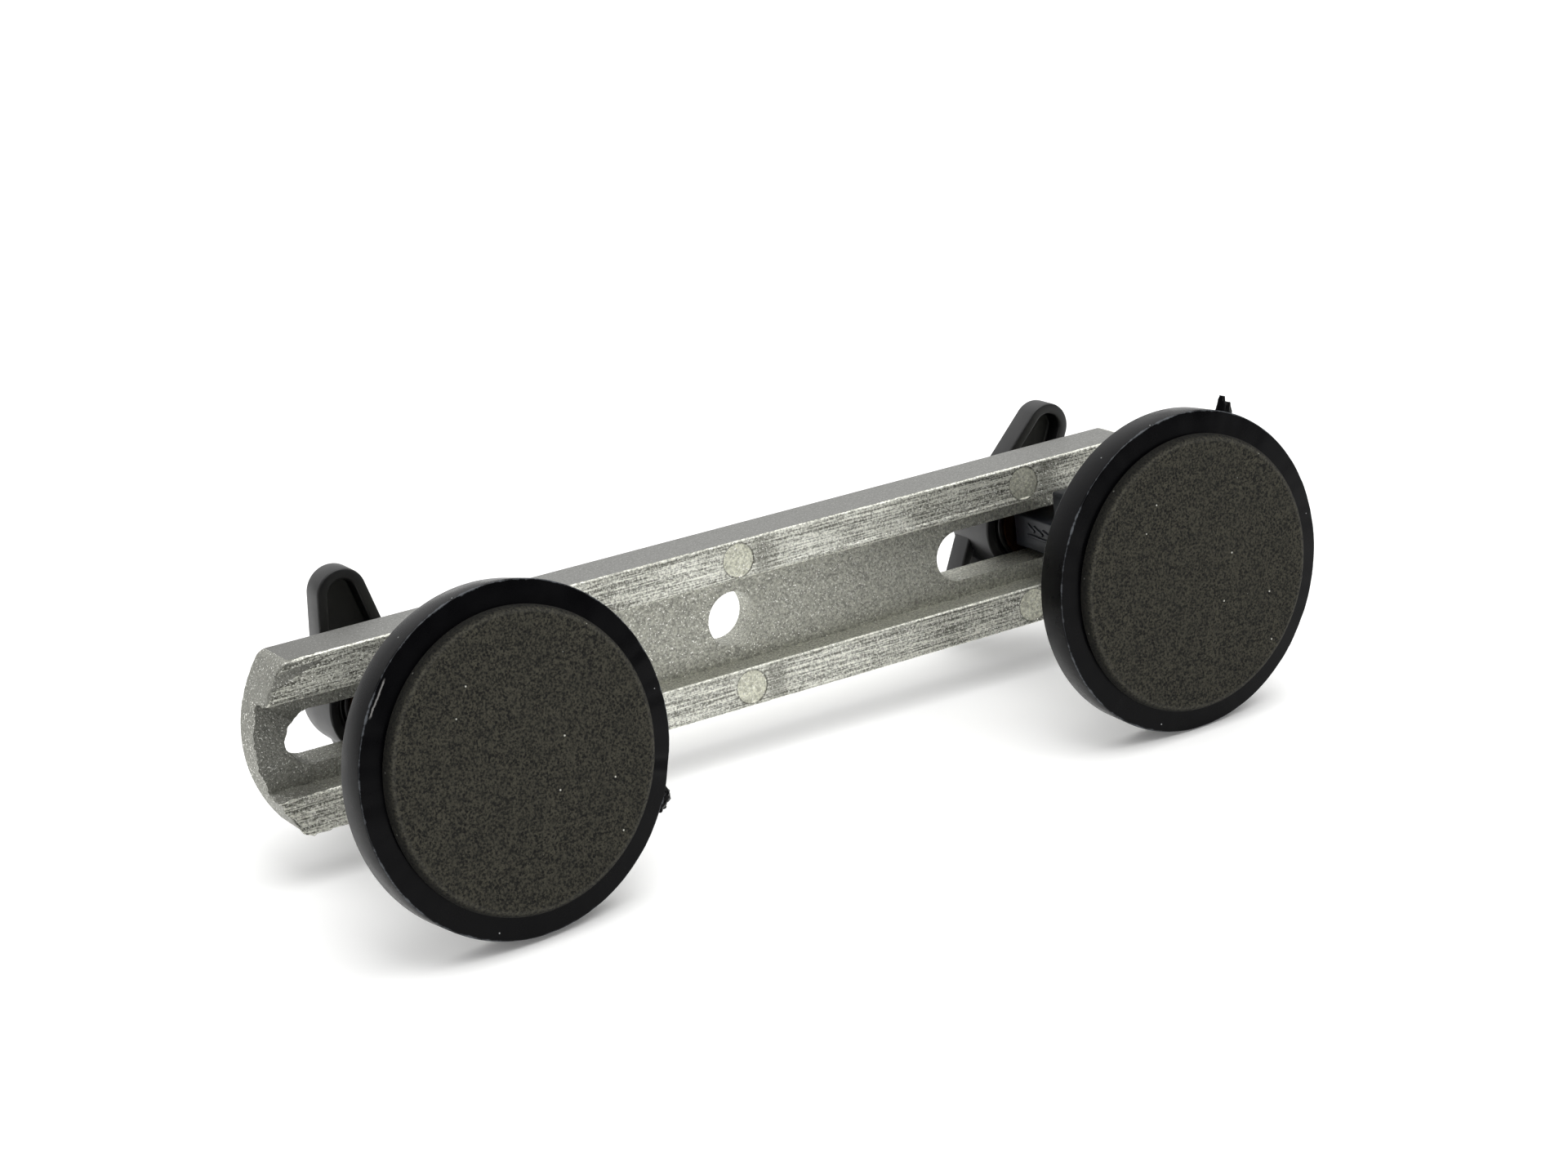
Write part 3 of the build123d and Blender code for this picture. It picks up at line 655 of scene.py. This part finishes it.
def closed_cell_foam(name, placed):
    """EVA foam: a mottled warm black with open cells darkened as painted shade, and a few white crumbs. The face
    is skived, the die-cut side is painted darker as shade, and the corner between them has a paler painted highlight."""
    material, tree, shader, place = material_with(name, {"Roughness": 0.92, "Specular IOR Level": 0.25}, placed)
    mottle = add(tree, "ShaderNodeTexNoise", {"Scale": 1 / 2.2, "Detail": 5.0, "Roughness": 0.7}, {"Vector": place})
    fine = add(tree, "ShaderNodeTexNoise", {"Scale": 1 / 0.38, "Detail": 3.0, "Roughness": 0.7}, {"Vector": place})
    fine_sharp = add(tree, "ShaderNodeMapRange", {"From Min": 0.4, "From Max": 0.6}, {"Value": fine.outputs["Fac"]})
    warm = add(tree, "ShaderNodeMix", {6: srgb("#090908"), 7: srgb("#444238")}, {"Factor": fine_sharp.outputs[0]},
               data_type="RGBA")
    mottle_amount = add(tree, "ShaderNodeMapRange", {"From Min": 0.35, "From Max": 0.7, "To Max": 0.4},
                        {"Value": mottle.outputs["Fac"]})
    cool = add(tree, "ShaderNodeMix", {7: srgb("#23231f")}, {"Factor": mottle_amount.outputs[0], 6: warm.outputs[2]},
               data_type="RGBA")
    # Painted shade: the open cells are darkened where shade falls inside their hollows.
    pits = add(tree, "ShaderNodeTexVoronoi", {"Scale": 1 / 0.8}, {"Vector": place})
    open_cell = add(tree, "ShaderNodeSeparateXYZ", {}, {"Vector": pits.outputs["Color"]})
    pit_size = add(tree, "ShaderNodeMapRange", {"To Min": 0.0, "To Max": 0.4}, {"Value": open_cell.outputs["X"]})
    pit_inside = add(tree, "ShaderNodeMath", {}, {0: pit_size.outputs[0], 1: pits.outputs["Distance"]},
                     operation="SUBTRACT")
    pit = add(tree, "ShaderNodeMapRange", {"From Min": 0.0, "From Max": 0.12, "To Max": 0.85},
              {"Value": pit_inside.outputs[0]})
    pit_shaded = add(tree, "ShaderNodeMix", {7: srgb("#0a0a08")}, {"Factor": pit.outputs[0], 6: cool.outputs[2]},
                 data_type="RGBA")
    axes = add(tree, "ShaderNodeSeparateXYZ", {}, {"Vector": place})
    flat = add(tree, "ShaderNodeCombineXYZ", {}, {"X": axes.outputs["X"], "Y": axes.outputs["Z"]})
    radius = add(tree, "ShaderNodeVectorMath", {}, {0: flat.outputs[0]}, operation="LENGTH")
    corner = (FOAM_RADIUS - 0.7 * FOAM_EDGE) / MM
    off_corner = add(tree, "ShaderNodeMath", {1: corner}, {0: radius.outputs["Value"]}, operation="SUBTRACT")
    near_corner = add(tree, "ShaderNodeMath", {}, {0: off_corner.outputs[0]}, operation="ABSOLUTE")
    # Painted highlight: a paler line round the rounded corner between face and side.
    corner_highlight = add(tree, "ShaderNodeMapRange", {"From Min": 0.45, "From Max": 0.1, "To Max": 0.1},
                 {"Value": near_corner.outputs[0]})
    corner_lit = add(tree, "ShaderNodeMix", {7: srgb("#74726a")}, {"Factor": corner_highlight.outputs[0], 6: pit_shaded.outputs[2]},
               data_type="RGBA")
    crumbs = add(tree, "ShaderNodeTexVoronoi", {"Scale": 1 / 2.6}, {"Vector": place})
    chosen = add(tree, "ShaderNodeSeparateXYZ", {}, {"Vector": crumbs.outputs["Color"]})
    rare = add(tree, "ShaderNodeMath", {1: 0.75}, {0: chosen.outputs["X"]}, operation="GREATER_THAN")
    crumb = add(tree, "ShaderNodeMapRange", {"From Min": 0.075, "From Max": 0.05},
                {"Value": crumbs.outputs["Distance"]})
    white = add(tree, "ShaderNodeMath", {}, {0: rare.outputs[0], 1: crumb.outputs[0]}, operation="MULTIPLY")
    crumbed = add(tree, "ShaderNodeMix", {7: srgb("#c8c8be")}, {"Factor": white.outputs[0], 6: corner_lit.outputs[2]},
                  data_type="RGBA")
    # Painted shade: the die-cut side and the outer part of the rounded edge are darkened as if in shade.
    side_shade = add(tree, "ShaderNodeMapRange", {"From Min": corner + 0.15, "From Max": corner + 0.7, "To Max": 0.8},
                     {"Value": radius.outputs["Value"]})
    colour = add(tree, "ShaderNodeMix", {7: srgb("#0b0b09")}, {"Factor": side_shade.outputs[0], 6: crumbed.outputs[2]},
                 data_type="RGBA")
    tree.links.new(colour.outputs[2], shader.inputs["Base Color"])
    hollow = add(tree, "ShaderNodeMath", {}, {0: fine.outputs["Fac"], 1: pit.outputs[0]}, operation="SUBTRACT")
    bump = add(tree, "ShaderNodeBump", {"Strength": 1.0, "Distance": 0.12 * MM}, {"Height": hollow.outputs[0]})
    tree.links.new(bump.outputs["Normal"], shader.inputs["Normal"])
    return material


def metal(name, low, high, rough, ring_pitch):
    """Turned metal: a fine noise bump for its tool marks and a slightly cloudy shine."""
    material, tree, shader, place = material_with(name, {"Metallic": 1.0, "Roughness": rough})
    cloud = add(tree, "ShaderNodeTexNoise", {"Scale": 1 / 1.5, "Detail": 4.0}, {"Vector": place})
    colour = add(tree, "ShaderNodeMix", {6: srgb(low), 7: srgb(high)}, {"Factor": cloud.outputs["Fac"]},
                 data_type="RGBA")
    tree.links.new(colour.outputs[2], shader.inputs["Base Color"])
    tool_marks = add(tree, "ShaderNodeTexNoise", {"Scale": 1 / ring_pitch, "Detail": 1.0}, {"Vector": place})
    bump = add(tree, "ShaderNodeBump", {"Strength": 0.4, "Distance": 0.02 * MM}, {"Height": tool_marks.outputs["Fac"]})
    tree.links.new(bump.outputs["Normal"], shader.inputs["Normal"])
    return material


def adhesive_film():
    """Acrylic film: a smooth dark tacky line between disc and foam."""
    material, tree, shader, place = material_with("acrylic_adhesive_film", {"Roughness": 0.4, "IOR": 1.47})
    smears = add(tree, "ShaderNodeTexNoise", {"Scale": 1 / 2.0, "Detail": 2.0}, {"Vector": place})
    colour = add(tree, "ShaderNodeMix", {6: srgb("#1c1b18"), 7: srgb("#2b2a26")}, {"Factor": smears.outputs["Fac"]},
                 data_type="RGBA")
    tree.links.new(colour.outputs[2], shader.inputs["Base Color"])
    return material


def white_paper():
    """Matt white background paper with a barely visible tooth."""
    material, tree, shader, place = material_with("white_background_paper", {"Roughness": 0.9, "Emission Color": (1, 1, 1, 1),
                                                                             "Emission Strength": 0.12})
    tooth = add(tree, "ShaderNodeTexNoise", {"Scale": 1 / 0.8, "Detail": 2.0}, {"Vector": place})
    colour = add(tree, "ShaderNodeMix", {6: srgb("#f8f8f7"), 7: srgb("#fcfcfb")}, {"Factor": tooth.outputs["Fac"]},
                 data_type="RGBA")
    tree.links.new(colour.outputs[2], shader.inputs["Base Color"])
    return material


# --- assembly ------------------------------------------------------------------------------------
BLACK_NUT = moulded_plastic("moulded_glass_filled_nylon", "#070708", "#0f0f10", 0.55, 0.5, 0.36, 0.35, 0.012, 0.05)
BLACK_STEM = moulded_plastic("moulded_acetal", "#131519", "#23262d", 0.4, 0.46, 0.32, 0.6, 0.012, 0.05)
# The brass colours are painted far darker than brass: painted shade for the insert, which sits in shadow between bar
# and nut.
SHADED_BRASS = metal("shaded_turned_brass", "#20140d", "#3f2818", 0.36, 0.25)
ZINC = metal("zinc_plated_steel", "#a89c80", "#cfc6ae", 0.3, 0.2)
FILM = adhesive_film()

bar = piece(cast_bar(), "bar", "bar", "cast_aluminium", linished_cast_aluminium(), "bridge_bar")

for side in SIDES:
    foot = Matrix.Translation((NUT_AXIS_X[side], 0, 0))
    swivel = Vector((0, -1, 0)).rotation_difference(PAD_AXIS[side]).to_matrix().to_4x4()
    pad = Matrix.Translation(BALL[side]) @ swivel
    nut = foot @ Matrix.Rotation(NUT_TURN[side], 4, "Y")
    piece(moved(foot_stem(), foot), f"{side}_stem", f"{side}_foot", "moulded_stem", BLACK_STEM,
          f"{side}_foot_stem")
    piece(moved(threaded_stud(), foot), f"{side}_stud", f"{side}_foot", "plated_stud", ZINC,
          f"{side}_threaded_stud")
    marks = (worn_and_highlit_edge, pale_scrape) if side == "left" else (worn_and_highlit_edge,)
    abs_disc = moulded_plastic(f"moulded_abs_{side}", "#020203", "#060608", 0.08, 0.36, 0.2, 0.5, 0.006, 0.12,
                               pad, marks)
    piece(moved(disc_body(side), pad), f"{side}_disc", f"{side}_pad", "moulded_disc", abs_disc,
          f"{side}_pad_disc")
    foam = piece(moved(foam_face(), pad), f"{side}_foam", f"{side}_pad", "foam",
                 closed_cell_foam(f"skived_eva_foam_{side}", pad), f"{side}_foam_pad")
    piece(moved(brass_insert(), nut), f"{side}_insert", f"{side}_nut", "brass_insert", SHADED_BRASS,
          f"{side}_thread_insert")
    piece(moved(wing_nut(), nut), f"{side}_wings", f"{side}_nut", "moulded_nut", BLACK_NUT, f"{side}_wing_nut")
    film = frame["nodes"][f"{side}_pad_adhesive"].data.materials
    film.clear()
    film.append(FILM)


# --- stage ---------------------------------------------------------------------------------------
def lowest(name):
    """The lowest point of a piece."""
    return min((v.co.copy() for v in bpy.data.objects[name].data.vertices), key=lambda co: co.z)


def floor():
    """The sheet that the tool lies on: it touches both discs and the left nut."""
    left, right, back = lowest("left_disc"), lowest("right_disc"), lowest("left_wings")
    normal = (right - left).cross(back - left).normalized()
    normal *= math.copysign(1, normal.z)
    bm = bmesh.new()
    bmesh.ops.create_grid(bm, x_segments=8, y_segments=8, size=6.0)
    moved(bm, Matrix.Translation(left - normal * 0.15 * MM)
          @ Vector((0, 0, 1)).rotation_difference(normal).to_matrix().to_4x4())
    mesh = bpy.data.meshes.new("paper")
    bm.to_mesh(mesh)
    bm.free()
    mesh.materials.append(white_paper())
    paper = bpy.data.objects.new("paper", mesh)
    bpy.context.scene.collection.objects.link(paper)


def studio_light():
    """A white room that lights most from overhead and behind the tool, and one large soft lamp."""
    world = bpy.data.worlds.new("white_studio")
    bpy.context.scene.world = world
    world.use_nodes = True
    tree = world.node_tree
    direction = add(tree, "ShaderNodeTexCoord", {}, {})
    axes = add(tree, "ShaderNodeSeparateXYZ", {}, {"Vector": direction.outputs["Generated"]})
    height = add(tree, "ShaderNodeMapRange", {"From Min": -0.05, "From Max": 0.8, "To Min": 0.45, "To Max": 1.5},
                 {"Value": axes.outputs["Z"]})
    behind = add(tree, "ShaderNodeMapRange", {"From Min": -0.5, "From Max": 0.4, "To Min": 0.35, "To Max": 1.0},
                 {"Value": axes.outputs["Y"]})
    room = add(tree, "ShaderNodeMath", {}, {0: height.outputs[0], 1: behind.outputs[0]}, operation="MULTIPLY")
    background = tree.nodes["Background"]
    background.inputs["Color"].default_value = (1, 1, 1, 1)
    ray = add(tree, "ShaderNodeLightPath", {}, {})
    seen = add(tree, "ShaderNodeMath", {}, {0: room.outputs[0], 1: ray.outputs["Is Camera Ray"]}, operation="MAXIMUM")
    tree.links.new(seen.outputs[0], background.inputs["Strength"])
    lamp = bpy.data.lights.new("softbox", "AREA")
    lamp.shape = "RECTANGLE"
    lamp.size = 1.1
    lamp.size_y = 0.9
    lamp.energy = 8.5
    softbox = bpy.data.objects.new("softbox", lamp)
    bpy.context.scene.collection.objects.link(softbox)
    place = Vector((0.15, -0.4, 1.0))
    softbox.location = place
    softbox.rotation_euler = (-place).to_track_quat("-Z", "Y").to_euler()


def camera():
    """A long lens, from the front left and a little above."""
    lens = bpy.data.cameras.new("camera")
    lens.sensor_width = 36.0
    lens.lens = 78.64
    lens.clip_start = 0.01
    looker = bpy.data.objects.new("camera", lens)
    bpy.context.scene.collection.objects.link(looker)
    place = Vector((-271.584, -506.124, 179.823)) * MM
    forward = Vector((0.46996, 0.83216, -0.29436)).normalized()
    right = forward.cross(Vector((0.23547, 0.20320, 0.95040))).normalized()
    up = right.cross(forward)
    turn = Matrix((right, up, -forward)).transposed().to_4x4()
    looker.matrix_world = Matrix.Translation(place) @ turn
    bpy.context.scene.camera = looker


floor()
studio_light()
camera()
bpy.context.scene.view_settings.view_transform = "Standard"
